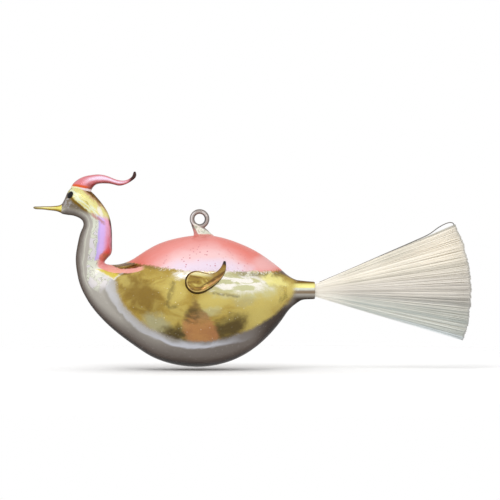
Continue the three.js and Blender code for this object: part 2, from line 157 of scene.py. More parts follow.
class Wire:
    def __init__(self, tree, socket=None):
        self.tree = tree
        self.socket = socket

    def node(self, kind, settings=None, inputs=None, output=0):
        made = self.tree.nodes.new(kind)
        for key, value in (settings or {}).items():
            if key == 'stops':
                while len(made.color_ramp.elements) < len(value):
                    made.color_ramp.elements.new(0.5)
                for stop, (place, colour) in zip(made.color_ramp.elements, value):
                    stop.position = place
                    stop.color = colour
            else:
                setattr(made, key, value)
        for key, value in (inputs or {}).items():
            if isinstance(value, Wire):
                self.tree.links.new(value.socket, made.inputs[key])
            else:
                made.inputs[key].default_value = value
        return Wire(self.tree, made.outputs[output])

    def maths(self, operation, *values):
        return self.node('ShaderNodeMath', {'operation': operation}, dict(enumerate(values)))

    def __add__(self, other):
        return self.maths('ADD', self, other)

    def __radd__(self, other):
        return self.maths('ADD', other, self)

    def __sub__(self, other):
        return self.maths('SUBTRACT', self, other)

    def __rsub__(self, other):
        return self.maths('SUBTRACT', other, self)

    def __mul__(self, other):
        return self.maths('MULTIPLY', self, other)

    def __rmul__(self, other):
        return self.maths('MULTIPLY', other, self)

    def __truediv__(self, other):
        return self.maths('DIVIDE', self, other)

    def __pow__(self, other):
        return self.maths('POWER', self, other)

    def __abs__(self):
        return self.maths('ABSOLUTE', self)

    def atLeast(self, other):
        return self.maths('MAXIMUM', self, other)

    def atMost(self, other):
        return self.maths('MINIMUM', self, other)

    def rise(self, low, high):
        # 0 below low, 1 above high, smooth between; with low over high it falls
        return self.node('ShaderNodeMapRange', {'interpolation_type': 'SMOOTHSTEP'},
                         {'Value': self, 'From Min': low, 'From Max': high})

    def noise(self, vector, scale, detail=3.0, roughness=0.5, distortion=0.0):
        return self.node('ShaderNodeTexNoise', {'noise_dimensions': '3D'},
                         {'Vector': vector, 'Scale': scale, 'Detail': detail,
                          'Roughness': roughness, 'Distortion': distortion})

    def cells(self, vector, scale, output=0):
        # output 0 is the distance to the nearest cell's middle, 1 is that cell's own colour
        return self.node('ShaderNodeTexVoronoi', {'feature': 'F1'},
                         {'Vector': vector, 'Scale': scale}, output)

    def mix(self, under, over, mask):
        return self.node('ShaderNodeMix', {'data_type': 'RGBA'}, {0: mask, 6: under, 7: over}, 2)

    def stretch(self, vector, x, y, z):
        return self.node('ShaderNodeVectorMath', {'operation': 'MULTIPLY'}, {0: vector, 1: (x, y, z)})

    def axis(self, letter):
        return self.node('ShaderNodeSeparateXYZ', {}, {0: self}, 'xyz'.index(letter))

    def carried(self, name):
        # an attribute that the mesh carries on its vertices
        return self.node('ShaderNodeAttribute', {'attribute_name': name}, {}, 2)

    def bump(self, height, distance):
        return self.node('ShaderNodeBump', {}, {'Height': height, 'Distance': distance})


def colour(text):
    # a web colour as linear light
    parts = [int(text[i:i + 2], 16) / 255 for i in (1, 3, 5)]
    return tuple(c / 12.92 if c <= 0.04045 else ((c + 0.055) / 1.055) ** 2.4 for c in parts) + (1.0,)


def colours(piece):
    return {key: colour(value) for key, value in piece['colours'].items()}


def newFinish(name, **fixed):
    # a material with its Principled shader, and the place on the object in mm that patterns start from
    finish = bpy.data.materials.new(name)
    finish.use_nodes = True
    tree = finish.node_tree
    shader = tree.nodes['Principled BSDF']
    for key, value in fixed.items():
        shader.inputs[key.replace('_', ' ')].default_value = value
    wire = Wire(tree)
    place = wire.stretch(wire.node('ShaderNodeTexCoord', {}, {}, 3), 1 / mm, 1 / mm, 1 / mm)
    return finish, shader, wire, place


def plug(value, shader, socket):
    value.tree.links.new(value.socket, shader.inputs[socket])


def dress(piece, finish, node):
    piece.data.materials.clear()
    piece.data.materials.append(finish)
    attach(piece, 'root')
    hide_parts(node)


# the blown shell: tail tube, body, neck and head in one skin

shell = {
    'wall': 0.8,
    'sides': 32,
    'ringCount': 84,
    # back x and z, front x and z, half width, from the mouth of the tail tube to the root of the beak
    'rows': [
        [55.4, -30.1, 55.4, -38.5, 4.2],
        [52.3, -29.9, 52.3, -38.6, 4.4],
        [49.2, -29.6, 49.2, -38.9, 4.7],
        [45.9, -29.0, 46.8, -40.3, 5.7],
        [42.0, -26.7, 42.9, -43.6, 8.3],
        [38.7, -23.7, 39.2, -48.9, 12.3],
        [33.8, -19.8, 33.8, -55.4, 17.1],
        [26.6, -15.0, 26.2, -62.3, 22.6],
        [17.1, -10.7, 16.6, -67.8, 27.2],
        [7.5, -8.0, 6.4, -70.6, 29.6],
        [0.0, -7.5, -1.7, -71.2, 30.0],
        [-9.4, -8.7, -11.8, -70.1, 29.1],
        [-19.0, -11.4, -22.3, -66.7, 26.3],
        [-26.2, -15.3, -31.0, -61.1, 22.0],
        [-33.4, -20.0, -40.6, -53.9, 17.0],
        [-39.6, -21.8, -47.8, -47.0, 13.0],
        [-44.4, -21.7, -53.6, -39.5, 10.2],
        [-45.6, -20.6, -57.6, -31.4, 8.5],
        [-44.4, -19.0, -59.2, -23.7, 8.0],
        [-42.2, -16.5, -59.5, -18.0, 8.0],
        [-42.0, -11.7, -58.5, -11.7, 7.8],
        [-42.0, -6.5, -57.3, -6.7, 7.4],
        [-42.6, -1.2, -55.8, -3.3, 6.6],
        [-43.9, 2.9, -56.0, -1.4, 6.4],
        [-46.3, 6.8, -57.1, 0.0, 6.2],
        [-49.2, 10.4, -59.0, 1.0, 6.3],
        [-52.1, 13.3, -61.0, 1.6, 6.5],
        [-56.4, 16.0, -62.7, 1.8, 6.5],
        [-60.5, 15.7, -64.1, 2.0, 5.9],
        [-63.0, 13.5, -65.1, 2.2, 4.7],
        [-64.5, 10.1, -65.7, 2.4, 3.5],
        [-66.0, 7.3, -66.4, 2.8, 2.2],
        [-66.7, 5.9, -66.8, 4.2, 0.9],
    ],
    # painted reflections on the gold, as clouds: colour, strength, middle x and z, width, height, turn, how
    # solid the middle is
    'goldClouds': [
        ('goldOlive', 0.9, -28, -36, 14.5, 9, -0.5, 0.1),
        ('goldLight', 0.6, -36, -29, 6, 3, -0.7),
        ('goldLight', 0.8, -11, -34, 7, 8),
        ('goldLight', 0.85, 30, -39, 15, 8, 0.6),
        ('cloud', 0.9, -20, -49.5, 9, 5.5, -0.5),
        ('goldDark', 0.95, -11, -55, 9, 6),
        ('goldDark', 0.9, 14, -51.5, 13, 6.5, 0.35),
        ('goldLight', 0.9, 8, -39, 11, 5, 0.1),
        ('green', 0.4, 5, -44.5, 8, 3, 0.25),
        ('cloud', 0.55, 22, -39, 6, 4),
        ('goldLight', 0.8, 28, -48, 9, 5, 0.75),
        ('goldLight', 0.9, 40, -34.5, 9, 5, 0.2),
    ],
    'colours': {
        'coral': '#df7060',
        'coralDeep': '#e2604a',
        'pink': '#e8948d',
        'pinkPale': '#f0c8c8',
        'lilacPale': '#e5daec',
        'freckle': '#b8405c',
        'gold': '#b79a43',
        'goldOlive': '#8a6c26',
        'goldPale': '#fffaf0',
        'green': '#d6dab0',
        'goldLight': '#d8c56e',
        'goldBright': '#fbf196',
        'yellow': '#f0dc4c',
        'goldDark': '#4c3d1c',
        'cloud': '#b9b48a',
        'brown': '#c38555',
        'brownDark': '#80602f',
        'greyLight': '#beb9b0',
        'greyMiddle': '#837b75',
        'greyDark': '#463b33',
        'glint': '#e2e5f0',
        'cream': '#e2e5d4',
        'creamLine': '#908f7e',
        'lilac': '#e3bffd',
        'lavender': '#c0b3f4',
        'orchid': '#f6b3d4',
        'rose': '#f09c9c',
        'roseNape': '#e79bae',
        'salmon': '#f5aea2',
        'redBrown': '#7a4640',
        'cheek': '#877a68',
        'cheekDark': '#6b6053',
        'crown': '#f0f5d6',
        'crownGold': '#ece394',
        'crownLine': '#a8953c',
        'olive': '#82641c',
        'nape': '#cfa583',
        'wedge': '#c98a86',
    },
}


def markBackness(piece, rings, sides):
    # 1 along the back, the nape and the crown, -1 along the belly and the throat
    values = np.zeros(len(piece.data.vertices), np.float32)
    for i, ring in enumerate(rings):
        back = Vector((math.cos(ring['tilt']), 0, math.sin(ring['tilt'])))
        middle = Vector((ring['x'], ring['y'], ring['z']))
        for k in range(i * sides, (i + 1) * sides):
            values[k] = (piece.data.vertices[k].co / mm - middle).dot(back) / ring['deep']
    piece.data.attributes.new('backness', 'FLOAT', 'POINT').data.foreach_set('value', values)


def makeShell():
    rings = [ringOf(*row) for row in smoothRows(shell['rows'], shell['ringCount'])]
    piece = loft('bird_shell', rings, shell['sides'], capStart=False)
    markBackness(piece, rings, shell['sides'])
    finishModifier(piece, 'SOLIDIFY', thickness=shell['wall'] * mm, offset=-1)
    roundOff(piece)
    return piece


def makeShellFinish():
    c = colours(shell)
    finish, shader, w, place = newFinish('silvered_and_lacquered', Coat_Roughness=0.03, Coat_IOR=1.5,
                                         IOR=1.3, Specular_Tint=(0.16, 0.11, 0.09, 1))
    x = place.axis('x')
    y = place.axis('y')
    z = place.axis('z')
    backness = w.carried('backness')
    soft = w.noise(place, 0.07, 3) - 0.5
    fine = w.noise(place, 0.6, 4, 0.6) - 0.5
    curls = w.noise(w.stretch(place, 0.5, 1, 1), 0.12, 5, 0.6, 1.4)
    streaks = w.noise(w.stretch(place, 0.35, 1, 1.7), 0.22, 4, 0.55, 0.8)
    warpX = x + (w.noise(place, 0.13, 4, 0.6) - 0.5) * 9
    warpZ = z + (w.noise(place, 0.15, 4, 0.6, 0.5) - 0.5) * 7

    def cloud(midX, midZ, wide, high, turn=0.0, solid=0.0):
        # a soft patch with a ragged edge, on both flanks
        along = (warpX - midX) * math.cos(turn) + (warpZ - midZ) * math.sin(turn)
        across = (warpZ - midZ) * math.cos(turn) - (warpX - midX) * math.sin(turn)
        return ((along / wide) ** 2 + (across / high) ** 2 + (curls - 0.5) * 1.2).rise(1.2, solid)

    def scratch(fromX, fromZ, toX, toZ, wide):
        # a thin line between two places
        long = math.hypot(toX - fromX, toZ - fromZ)
        dx, dz = (toX - fromX) / long, (toZ - fromZ) / long
        along = (x - fromX) * dx + (z - fromZ) * dz
        bentX = x * 0.75 + warpX * 0.25 - fromX
        bentZ = z * 0.75 + warpZ * 0.25 - fromZ
        off = abs(bentX * dz * -1 + bentZ * dx + fine * 1.2)
        ends = along.rise(-0.5, 0.8) * along.rise(long + 0.5, long - 0.8)
        return off.rise(wide, 0) * ends * (fine + 0.5).rise(0.3, 0.55)

    # pink back: a painted reflection, a pale lilac glow over the middle of its lower edge, with coral all
    # round it
    line = -25.0 + (-3 - x).atLeast(0) * 0.13  # level under the glow, then rising towards the neck
    aboveLine = z - line + fine * 2.4 + soft * 2
    glow = ((x - 4) / (31 - x.rise(5, 20) * 5)) ** 2 + ((z + 26) / 17.0) ** 2
    glow = glow + soft * 0.35 + (curls - 0.5) * 0.25
    pink = w.mix(c['pinkPale'], c['pink'], glow.rise(0.25, 0.85))
    pink = w.mix(pink, c['coral'], glow.rise(0.72, 1.4))
    # deeper coral along the top edge: partly thicker lacquer, partly painted shade
    toRight = x.rise(2, 16)
    top = (backness + soft * 0.2).rise(0.9 - toRight * 0.28, 1.02)
    pink = w.mix(pink, c['coralDeep'], top * (0.2 + x.rise(-8, -28) * 0.4 + toRight * 0.45))
    # a painted pale reflection on the right of the back, then the painted lilac reflection low in the middle
    pink = w.mix(pink, c['pinkPale'], (((x - 32) / 8) ** 2 + ((z + 21.5) / 5) ** 2).rise(1.2, 0) * 0.6)
    lilacGlow = ((x - 4) / 25) ** 2 + ((z + 25) / 7.5) ** 2 + soft * 0.9 + (curls - 0.5) * 0.5
    pink = w.mix(pink, c['lilacPale'], lilacGlow.rise(1, 0.1) * 0.8)

    # gold flank: painted reflections over the gold lacquer, as clouds of olive, dark, pale and brown, a brown
    # cone that points up, pale streaks and highlight flecks
    gold = w.mix(c['gold'], c['goldLight'], (curls + soft * 0.5).rise(0.42, 0.66) * 0.6)
    for key, strength, *patch in shell['goldClouds']:
        gold = w.mix(gold, c[key], cloud(*patch) * strength)
    coneHalf = ((z + 37.5) * -0.62).atMost(7.3).atLeast(0.7)
    fromCone = abs(x + 2.3 + (z + 37.5) * 0.22 + (curls - 0.5) * 7 + fine * 3)
    cone = (fromCone - coneHalf).rise(1.6, -1.6) * z.rise(-34.6, -39.5)
    coneSkin = w.mix(c['brownDark'], c['brown'], (z + soft * 8 + (streaks - 0.5) * 8).rise(-42, -50))
    gold = w.mix(gold, coneSkin, cone * 0.8)
    # a mottled dark painted reflection inside the cone
    mottledReflection = (curls * 0.6 + streaks * 0.4).rise(0.42, 0.58)
    gold = w.mix(gold, c['goldDark'], cloud(-2.6, -45.5, 4.2, 4.6) * mottledReflection * 0.8)
    gold = w.mix(gold, c['green'], cloud(20, -31, 22, 8, -0.04) * 0.8)
    pale = cloud(18, -30, 20, 6.5, -0.04, 0.1) * streaks.rise(0.39, 0.55)
    gold = w.mix(gold, c['goldPale'], pale)
    gold = w.mix(gold, c['goldPale'], cloud(-7, -26.8, 9, 2.8) * streaks.rise(0.40, 0.58) * 0.75)
    gold = w.mix(gold, c['goldBright'], cloud(36, -29, 8, 3, -0.3) * 0.8)
    darkEdge = aboveLine.rise(-3.6, -1.0) * curls.rise(0.42, 0.54) * x.rise(12, 24)
    gold = w.mix(gold, c['goldDark'], darkEdge * 0.6)
    gold = w.mix(gold, c['brownDark'], aboveLine.rise(-2.2, -0.6) * x.rise(-14, -22) * 0.6)
    # painted highlight flecks just under the pink
    sparkle = aboveLine.rise(-1.6, -0.4) * (w.noise(place, 0.9, 4, 0.7) + soft * 0.6).rise(0.5, 0.6)
    gold = w.mix(gold, c['goldPale'], sparkle * x.rise(-23, -16) * 0.9)
    gold = w.mix(gold, c['goldDark'], scratch(-11.4, -29.5, -15.2, -41.8, 2.4) * 0.5)
    gold = w.mix(gold, c['goldDark'], scratch(-15, -42, -9.5, -41.2, 1.8) * 0.5)
    gold = w.mix(gold, c['goldDark'], scratch(6.4, -35.2, 19.6, -36.6, 1.1) * 0.5)

    # grey belly: a painted highlight next to the gold, a painted wavy glint, then painted shade darker
    # towards the keel and on the right
    across = x - 2.2
    left = (across * -1).atLeast(0) / 42.5
    right = across.atLeast(0) / 46.5
    drop = (-27.2 - z).atLeast(0) / 31.0
    reach = left ** 2 + right ** 1.55 + drop ** 1.85
    edge = reach + fine * 0.10 + soft * 0.10
    under = backness + soft * 0.10
    grey = w.mix(c['greyDark'], c['greyMiddle'], under.rise(-1.03, -0.8))
    grey = w.mix(grey, c['greyLight'], under.rise(-0.86, -0.5) * x.rise(20, -30))
    grey = w.mix(grey, c['greyMiddle'], x.rise(16, 28) * 0.7)
    grey = w.mix(grey, c['greyDark'], x.rise(24, 34) * z.rise(-38, -45) * 0.8)
    wave = reach - 1.17 + soft * 0.3 + (curls - 0.5) * 0.2
    glint = wave.rise(0.09, 0.0) * wave.rise(-0.22, 0.0) * x.rise(28, 2) * (0.5 + x.rise(-30, -10) * 0.45)
    grey = w.mix(grey, c['glint'], glint * 0.9)
    grey = w.mix(grey, c['greyDark'], wave.rise(0.02, 0.07) * wave.rise(0.2, 0.08) * x.rise(-18, -34) * 0.2)
    skin = w.mix(gold, grey, edge.rise(0.93, 1.05))

    # tail tube: bands along it, from its grey underside to an olive top; the darker underside is painted
    # shade, the brown, cream and bright yellow bands painted reflections
    tube = w.mix(c['greyDark'], c['greyLight'], z.rise(-38.6, -35.8))
    tube = w.mix(tube, c['brownDark'], z.rise(-36.2, -35.4) * z.rise(-34.0, -34.8) * 0.7)
    tube = w.mix(tube, c['cream'], (z + fine).rise(-34.4, -33.6))
    tube = w.mix(tube, c['goldBright'], (z + fine * 0.8).rise(-33.3, -32.7))
    tube = w.mix(tube, c['goldOlive'], z.rise(-31.6, -30.4))
    skin = w.mix(skin, tube, x.rise(43.5, 47.5))
    skin = w.mix(skin, pink, aboveLine.rise(-0.6, 0.6) * x.rise(44, 40))

    # neck: bands that run up it, from the grey throat to the red-brown nape. The darkest throat edge and the
    # red-brown nape edge are painted shade; the light grey band, the thin cream streak, the lilac tint on the
    # folds and the lilac bands are painted reflections; the rose is lacquer
    bandNoise = w.noise(w.stretch(place, 1, 1, 0.45), 0.55, 3, 0.6) - 0.5
    crackle = w.noise(w.stretch(place, 1, 1, 0.7), 0.5, 2, 0.5, 2.5)
    folds = w.noise(w.stretch(place, 1, 1, 0.8), 0.30, 1, 0.4, 0.9)
    foldLine = abs(folds - 0.47).rise(0.014, 0.003).atLeast(abs(folds - 0.56).rise(0.012, 0.003))
    bands = backness + bandNoise * 0.2
    throat = w.mix(c['cheekDark'], c['greyMiddle'], bands.rise(-0.98, -0.8))
    throat = w.mix(throat, c['greyLight'], bands.rise(-0.82, -0.5))
    throat = w.mix(throat, c['cream'], abs(bands + 0.5).rise(0.06, 0.0) * 0.5)
    cream = w.mix(c['cream'], c['lilacPale'], folds.rise(0.5, 0.6) * 0.6)
    cream = w.mix(cream, c['creamLine'], foldLine)
    neck = w.mix(throat, cream, bands.rise(-0.30, -0.22))
    lilac = w.mix(c['lavender'], c['lilac'], bands.rise(0.15, 0.38))
    lilac = w.mix(lilac, c['orchid'], bands.rise(0.5, 0.75))
    upper = w.mix(neck, lilac, bands.rise(0.14, 0.24))
    upper = w.mix(upper, c['roseNape'], (bands - z * 0.004).rise(0.78, 0.92))
    upper = w.mix(upper, c['redBrown'], (bands + (z + 8) * 0.004).rise(0.92, 0.99) * z.rise(-17, -12))
    upper = w.mix(upper, c['rose'], z.rise(-12, -17) * bands.rise(0.45, 0.75))
    neck = w.mix(neck, upper, (z + bandNoise * 3).rise(-22, -19))
    # a paler chest patch with a painted highlight in its middle
    patch = ((x + 47.5) / 6.5) ** 2 + ((z + 27) / 8) ** 2 + fine * 0.3
    neck = w.mix(neck, w.mix(cream, c['goldPale'], patch.rise(0.9, 0.2) * 0.35), patch.rise(1.0, 0.8))
    crease = ((x + 44.8) / 3.2) ** 2 + ((z + 19) / 3.6) ** 2 + fine
    neck = w.mix(neck, c['rose'], crease.rise(1.1, 0.6))
    onNeck = ((x + 50) * -0.9 + (z + 30) * 0.5 + bandNoise * 3).rise(-7.5, -5.5)
    onNeck = onNeck.atLeast(z.rise(-21.5, -20)) * x.rise(-37, -40)
    skin = w.mix(skin, neck, onNeck * (z + soft * 6).rise(-37, -31))

    # head: grey cheek with a painted glint under a slanting line, a bright crown of gold with pale painted
    # highlight streaks above it, then a thin olive edge
    slant = (z - 10.1) + (x + 61.2) * 0.9 + bandNoise * 1.8
    head = w.mix(c['cheek'], c['cheekDark'], (fine + soft).rise(0.02, 0.16) * 0.6)
    head = w.mix(head, c['glint'], (fine - soft).rise(0.06, 0.2) * 0.35)
    head = w.mix(head, c['olive'], slant.rise(-1.9, -0.5))
    flow = w.node('ShaderNodeCombineXYZ', {}, {0: slant * 0.75, 1: (z - x) * 0.13, 2: y * 0.35})
    combed = w.noise(flow, 1.0, 4, 0.55, 0.5)
    crown = w.mix(c['crownGold'], c['crown'], (combed - abs(slant - 3.2) * 0.02).rise(0.42, 0.52))
    crown = w.mix(crown, c['crownLine'], (combed + abs(slant - 3.5) * 0.012).rise(0.40, 0.33) * 0.7)
    head = w.mix(head, crown, slant.rise(0.1, 1.2))
    head = w.mix(head, c['crownGold'], (slant + (combed - 0.5) * 6).rise(4.6, 6.0) * 0.8)
    head = w.mix(head, c['nape'], (slant + bandNoise * 3).rise(7.6, 8.9) * 0.8)
    head = w.mix(head, c['olive'], (slant + bandNoise * 2).rise(9.0, 10.2) * 0.9)
    onHead = (z + (x + 50) * 0.25).rise(0.2, 3.4) * x.rise(-36, -40)
    skin = w.mix(skin, head, onHead)
    wedge = abs((x + 48.6) * 0.6 + (z - 0.2) * 0.8 + fine * 2 + (crackle - 0.5) * 1.5).rise(1.1, 0.2)
    skin = w.mix(skin, c['wedge'], wedge * x.rise(-52.5, -50.5) * x.rise(-44.2, -46.5) * 0.8)
    # a small white painted highlight low on the back of the head
    paintedGlint = ((x + 47.4 + (z - 3.4) * 0.4) / 1.2) ** 2 + ((z - 3.4) / 3.0) ** 2 + fine * 2
    skin = w.mix(skin, c['goldPale'], paintedGlint.rise(1.2, 0.2) * 0.85)

    # lip of salmon lacquer round the shoulder, a dark sliver above it and a bright yellow fleck under it
    fleck = abs(x + 41.6 + (z + 25) * 0.25) * 0.62 - (z + 29.0) + fine * 2
    bright = w.mix(c['yellow'], c['goldPale'], fleck.rise(-1.2, 0.2))
    skin = w.mix(skin, bright, fleck.rise(0.5, -0.3) * z.rise(-23.6, -24.4) * 0.9)
    lipLine = (x + 35) ** 2 * 0.022 - 24.95
    sliver = (z - lipLine).rise(0.5, 0.9) * x.rise(-44.5, -43.2) * x.rise(-27.5, -29.5)
    sliver = sliver * (z + x * 0.15).rise(-25.4, -26.2)
    skin = w.mix(skin, w.mix(c['brownDark'], c['gold'], streaks.rise(0.42, 0.6)), sliver * (1 - onHead) * 0.9)
    lip = abs(z - lipLine + bandNoise * 0.8) - x.rise(-37, -44) * 0.9
    onLip = lip.rise(1.2, 0.8) * x.rise(-49.5, -47.5) * x.rise(-25, -28) * z.rise(-19, -20.5)
    skin = w.mix(skin, w.mix(c['rose'], c['salmon'], x.rise(-46, -42)), onLip * 0.9)

    # dust and pits
    cells = w.cells(place, 0.75)
    chance = w.node('ShaderNodeSeparateColor', {}, {0: w.cells(place, 0.75, 1)})
    dust = cells.rise(0.17, 0.08) * chance.rise(0.74, 0.8)
    inPink = aboveLine.rise(-0.5, 0.6) * (1 - onNeck) * x.rise(44, 40)
    skin = w.mix(skin, (0.9, 0.88, 0.82, 1), dust * 0.5 * (1 - inPink))
    spots = w.cells(place, 0.55)
    pits = spots.rise(0.13, 0.05) * edge.rise(0.9, 1.05) * z.rise(-30, -40)
    skin = w.mix(skin, (0.9, 0.88, 0.85, 1), pits * 0.4)
    freckles = (spots + fine * 0.14).rise(0.24, 0.15) * (soft + 0.5).rise(0.40, 0.54)
    skin = w.mix(skin, c['freckle'], freckles * inPink * glow.rise(1.0, 0.2) * 0.75)

    bare = edge.rise(0.93, 1.05) * (1 - inPink)
    lacquer = inPink.atLeast(onLip * 0.9)
    plug(skin, shader, 'Base Color')
    plug(0.88 - lacquer * 0.7 - dust * 0.4, shader, 'Metallic')
    plug(0.14 + lacquer * 0.2 + bare * 0.2 + soft * 0.06 + dust * 0.3, shader, 'Roughness')
    plug(0.5 - bare * 0.3 - inPink * 0.35, shader, 'Coat Weight')
    plug(w.bump(soft * 0.7 + fine * bare * 0.05 + dust * 0.05, 1 * mm), shader, 'Normal')
    return finish


dress(makeShell(), makeShellFinish(), 'blown_shell')
print('shell done')


def makeDrawnPoint(name, part):
    # a solid point of glass, drawn out through the rings of its rows
    rings = [ringOf(*row) for row in smoothRows(part['rows'], part['ringCount'])]
    piece = loft(name, rings, part['sides'])
    markBackness(piece, rings, part['sides'])
    roundOff(piece)
    return piece


# beak: a drawn point of glass on the front of the head

beak = {
    'sides': 24,
    'ringCount': 26,
    # back x and z, front x and z, half width, from inside the head to the point
    'rows': [
        [-65.2, 7.4, -63.4, 2.9, 2.4],
        [-66.2, 7.25, -64.7, 2.3, 2.6],
        [-66.9, 6.75, -66.1, 2.65, 2.2],
        [-67.8, 6.5, -67.3, 3.2, 1.75],
        [-69.2, 6.3, -69.0, 3.75, 1.35],
        [-71.8, 6.1, -71.9, 4.1, 1.0],
        [-75.0, 6.1, -75.0, 4.5, 0.8],
        [-77.8, 6.0, -77.8, 4.6, 0.7],
        [-79.2, 6.0, -79.2, 4.8, 0.6],
        [-79.8, 5.7, -79.8, 5.2, 0.25],
    ],
    'colours': {
        'under': '#6b4c1c',
        'gold': '#c4a73e',
        'bright': '#f6ea78',
        'glint': '#fbf6d8',
        'upper': '#b0913a',
        'top': '#6d5322',
        'greyed': '#8c8060',
        'tip': '#5c4630',
    },
}


def makeBeakFinish():
    c = colours(beak)
    finish, shader, w, place = newFinish('gold_lacquer', Coat_Roughness=0.04,
                                         Specular_Tint=(0.2, 0.14, 0.08, 1))
    x = place.axis('x')
    drawn = w.noise(w.stretch(place, 0.12, 0.8, 0.8), 0.8, 2, 0.5)  # lines along the drawn glass
    backness = w.carried('backness')
    band = backness + (drawn - 0.5) * 0.8
    # painted shade on the dark underside and the dark top edge, a bright painted highlight band with a glint
    # along it; grey and brown towards the tip
    skin = w.mix(c['under'], c['gold'], band.rise(-0.95, -0.35))
    skin = w.mix(skin, c['bright'], band.rise(-0.35, 0.05))
    streak = abs(band - 0.25).rise(0.22, 0.05) * (x + drawn * 3).rise(-66.5, -68.5)
    skin = w.mix(skin, c['glint'], streak * 0.8)
    skin = w.mix(skin, c['upper'], band.rise(0.5, 0.75))
    skin = w.mix(skin, c['top'], band.rise(0.8, 1.0))
    skin = w.mix(skin, c['greyed'], (x + drawn * 3).rise(-72.5, -75.5) * 0.6)
    skin = w.mix(skin, c['tip'], (x + drawn * 2).rise(-75.5, -79) * 0.7)
    plug(skin, shader, 'Base Color')
    plug(0.9 - x.rise(-75, -79) * 0.5, shader, 'Metallic')
    plug(0.2 + drawn * 0.14, shader, 'Roughness')
    plug(0.6 - x.rise(-75, -79) * 0.3, shader, 'Coat Weight')
    plug(w.bump(drawn, 0.03 * mm), shader, 'Normal')
    return finish


dress(makeDrawnPoint('beak_point', beak), makeBeakFinish(), 'beak')
print('beak done')


# crest: a horn of glass drawn back from the crown

crest = {
    'sides': 24,
    'ringCount': 50,
    # upper x and z, lower x and z, half width, from the crown to the curled tip
    'rows': [
        [-61.4, 12.9, -51.8, 11.9, 3.8],
        [-61.9, 14.6, -51.9, 13.4, 4.1],
        [-61.3, 16.2, -51.6, 14.2, 4.0],
        [-60.0, 17.8, -51.2, 15.0, 3.7],
        [-58.1, 19.2, -50.3, 16.0, 3.3],
        [-55.5, 20.4, -49.1, 16.7, 2.9],
        [-51.6, 21.2, -47.0, 17.0, 2.5],
        [-48.0, 21.4, -45.4, 17.0, 2.2],
        [-44.4, 20.7, -43.2, 16.9, 1.9],
        [-41.5, 19.5, -40.9, 16.4, 1.6],
        [-38.7, 18.6, -38.4, 15.9, 1.3],
        [-35.8, 18.5, -35.3, 16.7, 1.0],
        [-33.5, 19.5, -32.7, 18.2, 0.8],
        [-32.2, 20.9, -30.7, 19.9, 0.85],
        [-31.9, 22.0, -30.3, 21.4, 0.8],
        [-31.5, 22.8, -30.7, 22.7, 0.35],
    ],
    'colours': {
        'under': '#86433f',
        'rose': '#dd7f86',
        'glow': '#f8e0f6',
        'upper': '#c87880',
        'shade': '#8b4a3c',
        'seam': '#dd5a24',
        'seamDark': '#7c4a40',
        'crown': '#ece9b8',
        'crownRosy': '#f2dfe0',
        'brow': '#8a6e30',
        'tip': '#3b211c',
    },
}


def makeCrestFinish():
    c = colours(crest)
    finish, shader, w, place = newFinish('pink_lacquered_glass', Coat_Roughness=0.03, Coat_Weight=0.5,
                                         Specular_Tint=(0.2, 0.1, 0.1, 1))
    x = place.axis('x')
    z = place.axis('z')
    backness = w.carried('backness')
    drawn = w.noise(w.stretch(place, 0.35, 1.4, 1.4), 0.5, 3, 0.55, 0.6) - 0.5
    band = backness + drawn * 0.5
    # painted shade on the dark underside and near the root, a pale painted highlight along the middle
    skin = w.mix(c['under'], c['rose'], band.rise(-0.95, -0.35))
    pale = band.rise(-0.4, 0.05) * band.rise(0.8, 0.3) * x.rise(-57.5, -50) * x.rise(-33, -38)
    skin = w.mix(skin, c['glow'], pale * 0.9)
    skin = w.mix(skin, c['upper'], (backness + x * 0.01).rise(0.2, 0.5) * 0.4 * x.rise(-44, -38))
    shade = band.rise(-0.1, -0.7) * x.rise(-50, -54) * (z + x * 0.3).rise(2.5, 0.5)
    skin = w.mix(skin, c['shade'], shade * 0.5)
    seam = (z - 15.1) + (x + 57) * 0.178 + drawn * 0.8
    skin = w.mix(skin, c['seam'], seam.rise(1.6, 0.8) * x.rise(-51, -55))
    skin = w.mix(skin, c['seamDark'], seam.rise(1.1, 0.4) * x.rise(-55, -52) * 0.8)
    # below the seam the crest is painted like the bright crown, with a rosy painted highlight
    crown = w.mix(c['crown'], c['crownRosy'], (seam * 0.3 + x.rise(-60, -54)).rise(0.2, 0.5))
    crown = w.mix(crown, c['brow'], x.rise(-61.2, -62.2) * 0.8)
    skin = w.mix(skin, crown, seam.rise(0.15, -0.15))
    skin = w.mix(skin, c['tip'], (x + drawn * 2).rise(-34.6, -32.6))
    plug(skin, shader, 'Base Color')
    plug(0.45 - x.rise(-35, -32) * 0.3, shader, 'Metallic')
    plug(0.17 + drawn * 0.1, shader, 'Roughness')
    plug(w.bump(drawn, 0.35 * mm), shader, 'Normal')
    return finish


dress(makeDrawnPoint('crest_horn', crest), makeCrestFinish(), 'crest')
print('crest done')


# eyes: a flattened bead of black glass on each side of the brow

eye = {
    'tall': 2.0,  # half its height, then half its width
    'wide': 1.75,
    'bulge': 0.85,
    'sink': 0.35,
    'skirt': 0.9,
    'sides': 24,
    'ringCount': 9,
    'place': (-61.9, 5.1, 11.5),
    'faces': (-0.46, 0.79, 0.40),
    'leans': (0.15, 0, 1),
    'colours': {
        'black': '#050403',
        'brown': '#1c140c',
    },
}


